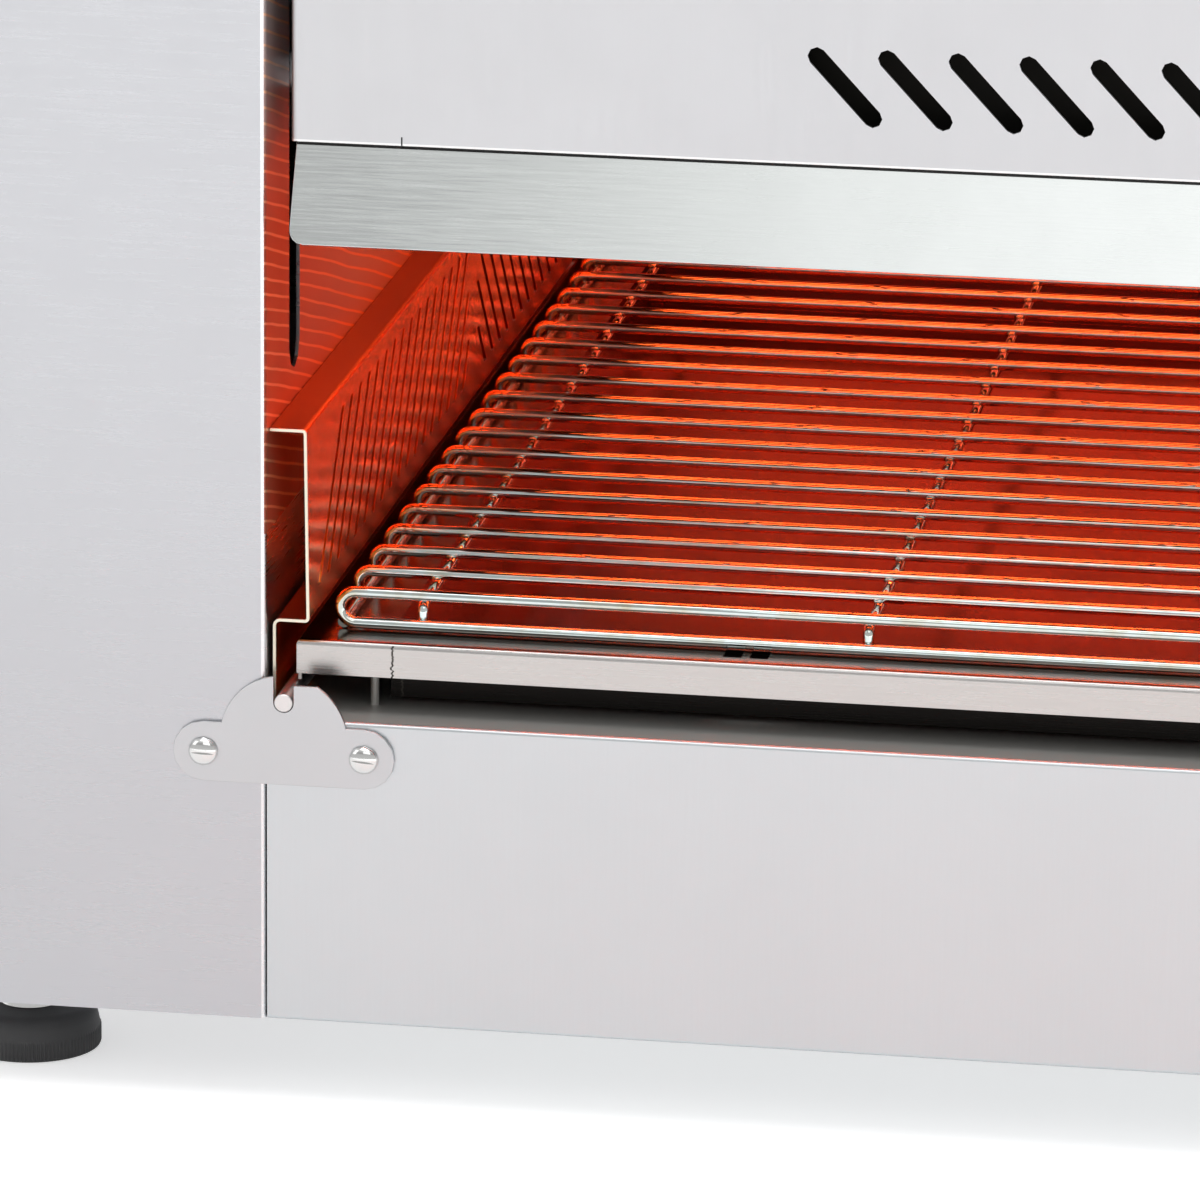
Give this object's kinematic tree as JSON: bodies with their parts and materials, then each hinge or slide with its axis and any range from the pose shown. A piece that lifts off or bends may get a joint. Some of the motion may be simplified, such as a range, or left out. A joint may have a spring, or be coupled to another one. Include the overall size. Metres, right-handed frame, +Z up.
{
  "type": "countertop salamander grill",
  "caption": "Countertop salamander grill: a heating hood that lifts between two columns above a wire grid on a pull-out drip tray.",
  "frame": {"origin": "on the floor under the middle of the whole machine", "axes": "+X to the right seen from the front, +Y to the back, +Z up; the front faces -Y"},
  "size_m": [0.8, 0.6976, 0.5318],
  "materials": {
    "brushed_casing_steel": "satin, brushed",
    "polished_steel": "polished",
    "chrome_wire": "polished",
    "heat_tinted_steel": "polished, tinted by heat",
    "visor_steel": "satin, brushed",
    "black_plastic": "satin",
    "black_housing": "matt",
    "charcoal_foot": "matt, ribbed",
    "amber_lens": "clear, gloss",
    "quartz_tube": "glowing quartz",
    "terminal_ceramic": "unglazed",
    "insulation_wool": "felted"
  },
  "bodies": {
    "casing": {"left_column_wall": "brushed_casing_steel", "left_column_cover": "brushed_casing_steel", "left_column_floor": "brushed_casing_steel", "left_side_guard": "heat_tinted_steel", "left_rod_bracket": "brushed_casing_steel", "left_runner_rod": "polished_steel", "left_outer_bracket_screw": "polished_steel", "left_inner_bracket_screw": "polished_steel", "left_front_guide_rod": "polished_steel", "left_rear_guide_rod": "polished_steel", "left_gas_strut_cylinder": "black_housing", "right_column_wall": "brushed_casing_steel", "right_column_cover": "brushed_casing_steel", "right_column_floor": "brushed_casing_steel", "right_side_guard": "heat_tinted_steel", "right_rod_bracket": "brushed_casing_steel", "right_runner_rod": "polished_steel", "right_outer_bracket_screw": "polished_steel", "right_inner_bracket_screw": "polished_steel", "right_front_guide_rod": "polished_steel", "right_rear_guide_rod": "polished_steel", "right_gas_strut_cylinder": "black_housing", "lower_front_panel": "brushed_casing_steel", "base_top_sheet": "polished_steel", "base_bottom_pan": "brushed_casing_steel", "back_panel": "brushed_casing_steel", "front_zone_regulator": "black_housing", "rear_zone_regulator": "black_housing", "timer_unit": "black_housing", "front_zone_lamp": "amber_lens", "rear_zone_lamp": "amber_lens", "switch_housing": "black_housing", "terminal_block": "terminal_ceramic", "cable_gland": "black_housing"},
    "tray": {"drip_tray": "brushed_casing_steel"},
    "grid": {"wire_grid": "chrome_wire"},
    "hood": {"hood_shell": "brushed_casing_steel", "hood_lid": "brushed_casing_steel", "hood_rear_panel": "brushed_casing_steel", "visor": "visor_steel", "reflector_liner": "polished_steel", "insulation_board": "insulation_wool", "heating_tube_1": "quartz_tube", "heating_tube_2": "quartz_tube", "heating_tube_3": "quartz_tube", "heating_tube_4": "quartz_tube", "tube_fender": "chrome_wire", "hood_handle": "polished_steel", "left_hood_carriage": "brushed_casing_steel", "left_gas_strut_rod": "polished_steel", "right_hood_carriage": "brushed_casing_steel", "right_gas_strut_rod": "polished_steel"},
    "front_zone_knob": {"front_zone_knob": "black_plastic"},
    "rear_zone_knob": {"rear_zone_knob": "black_plastic"},
    "timer_knob": {"timer_knob": "black_plastic"},
    "rocker": {"power_rocker": "black_plastic"},
    "front_left_foot": {"front_left_foot": "charcoal_foot"},
    "rear_left_foot": {"rear_left_foot": "charcoal_foot"},
    "front_right_foot": {"front_right_foot": "charcoal_foot"},
    "rear_right_foot": {"rear_right_foot": "charcoal_foot"}
  },
  "joints": [
    {"name": "hood_lift", "type": "slide", "parent": "casing", "child": "hood", "axis": [0, 0, 1], "range_m": [-0.093, 0.087]},
    {"name": "tray_slide", "type": "slide", "parent": "casing", "child": "tray", "axis": [0, -1, 0], "range_m": [0, 0.35]},
    {"name": "grid_lift", "type": "slide", "parent": "tray", "child": "grid", "axis": [0, 0, 1], "range_m": [0, 0.03]},
    {"name": "front_zone_turn", "type": "hinge", "parent": "casing", "child": "front_zone_knob", "pos_m": [0.3375, -0.30753, 0.43], "axis": [0, 1, 0], "range_deg": [0, 270]},
    {"name": "rear_zone_turn", "type": "hinge", "parent": "casing", "child": "rear_zone_knob", "pos_m": [0.3375, -0.30753, 0.332], "axis": [0, 1, 0], "range_deg": [0, 270]},
    {"name": "timer_turn", "type": "hinge", "parent": "casing", "child": "timer_knob", "pos_m": [0.3375, -0.30753, 0.234], "axis": [0, 1, 0], "range_deg": [0, 300]},
    {"name": "power_switch", "type": "hinge", "parent": "casing", "child": "rocker", "pos_m": [0.3375, -0.30453, 0.145], "axis": [1, 0, 0], "range_deg": [-18, 0]},
    {"name": "front_left_foot_turn", "type": "hinge", "parent": "casing", "child": "front_left_foot", "pos_m": [-0.368, -0.25953, 0], "axis": [0, 0, 1], "continuous": true},
    {"name": "rear_left_foot_turn", "type": "hinge", "parent": "casing", "child": "rear_left_foot", "pos_m": [-0.368, 0.28047, 0], "axis": [0, 0, 1], "continuous": true},
    {"name": "front_right_foot_turn", "type": "hinge", "parent": "casing", "child": "front_right_foot", "pos_m": [0.368, -0.25953, 0], "axis": [0, 0, 1], "continuous": true},
    {"name": "rear_right_foot_turn", "type": "hinge", "parent": "casing", "child": "rear_right_foot", "pos_m": [0.368, 0.28047, 0], "axis": [0, 0, 1], "continuous": true}
  ]
}
